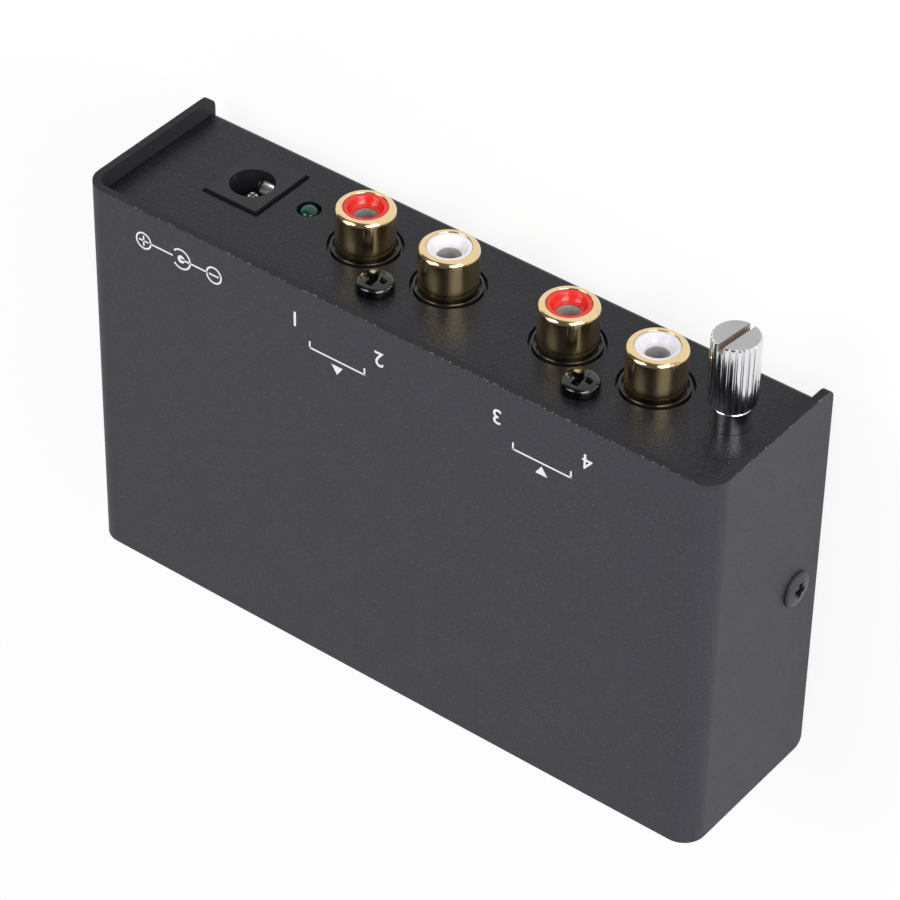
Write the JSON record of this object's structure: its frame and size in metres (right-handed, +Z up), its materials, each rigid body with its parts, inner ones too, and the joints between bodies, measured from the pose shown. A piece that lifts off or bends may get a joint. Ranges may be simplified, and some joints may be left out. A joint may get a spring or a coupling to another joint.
{
  "type": "phono preamp",
  "caption": "Small two-piece sheet-steel phono preamp with a recessed connector panel: power inlet, lamp, twin input and output phono jacks, and a knurled ground terminal.",
  "frame": {"origin": "centre of the bounding box at the height the rubber feet stand on", "axes": "+Z up out of the label face, -Y out of the connector panel, +X towards the end with the power inlet"},
  "size_m": [0.1058, 0.0738, 0.029],
  "materials": {
    "powder_coat": "fine texture powder coat, matt",
    "black_screw": "black oxide, glossy",
    "foot_rubber": "matt",
    "tin_plate": "tin plated",
    "bright_nickel": "bright nickel plate",
    "board": "solder mask over glass fibre laminate",
    "moulding": "moulded nylon",
    "lamp_lens": "tinted epoxy",
    "gold_plate": "flash gold over nickel, polished",
    "red_insulator": "moulded, glossy",
    "white_insulator": "moulded, glossy",
    "chip_epoxy": "moulded epoxy",
    "can_sleeve": "shrunk sleeve on aluminium",
    "film_case": "box film capacitor",
    "ceramic_coat": "dipped epoxy",
    "resistor_lacquer": "lacquered ceramic"
  },
  "bodies": {
    "enclosure": {"cover": "powder_coat", "chassis": "powder_coat", "cover_screws": "black_screw", "rubber_feet": "foot_rubber", "board_standoffs": "tin_plate", "board_screws": "bright_nickel", "circuit_board": "board", "dc_jack_housing": "moulding", "dc_jack_pin": "bright_nickel", "dc_jack_spring": "bright_nickel", "dc_jack_lugs": "tin_plate", "power_lamp": "lamp_lens", "lamp_leads": "tin_plate", "input_jack_block": "moulding", "output_jack_block": "moulding", "input_jack_shells": "gold_plate", "output_jack_shells": "gold_plate", "red_insulators": "red_insulator", "white_insulators": "white_insulator", "jack_centre_contacts": "tin_plate", "jack_block_screws": "black_screw", "ground_standoff": "bright_nickel", "amplifier_chips": "chip_epoxy", "chip_legs": "tin_plate", "filter_capacitors": "can_sleeve", "coupling_capacitors": "can_sleeve", "film_capacitors": "film_case", "ceramic_capacitors": "ceramic_coat", "capacitor_leads": "tin_plate", "resistors": "resistor_lacquer", "resistor_leads": "tin_plate", "voltage_regulator": "chip_epoxy", "regulator_legs": "tin_plate", "polarity_diode": "chip_epoxy", "diode_leads": "tin_plate"},
    "washer": {"clamp_washer": "bright_nickel"},
    "thumb_screw": {"thumb_screw": "bright_nickel"}
  },
  "joints": [
    {"name": "ground_screw_lift", "type": "slide", "parent": "enclosure", "child": "washer", "axis": [0, -1, 0], "range_m": [0, 0.00387]},
    {"name": "ground_screw_turn", "type": "hinge", "parent": "washer", "child": "thumb_screw", "pos_m": [-0.044, -0.0265, 0.0139], "axis": [0, -1, 0], "range_deg": [0, 2790]}
  ],
  "couplings": [
    {"joint": "ground_screw_turn", "follows": "ground_screw_lift", "rad_per_m": 12566}
  ]
}
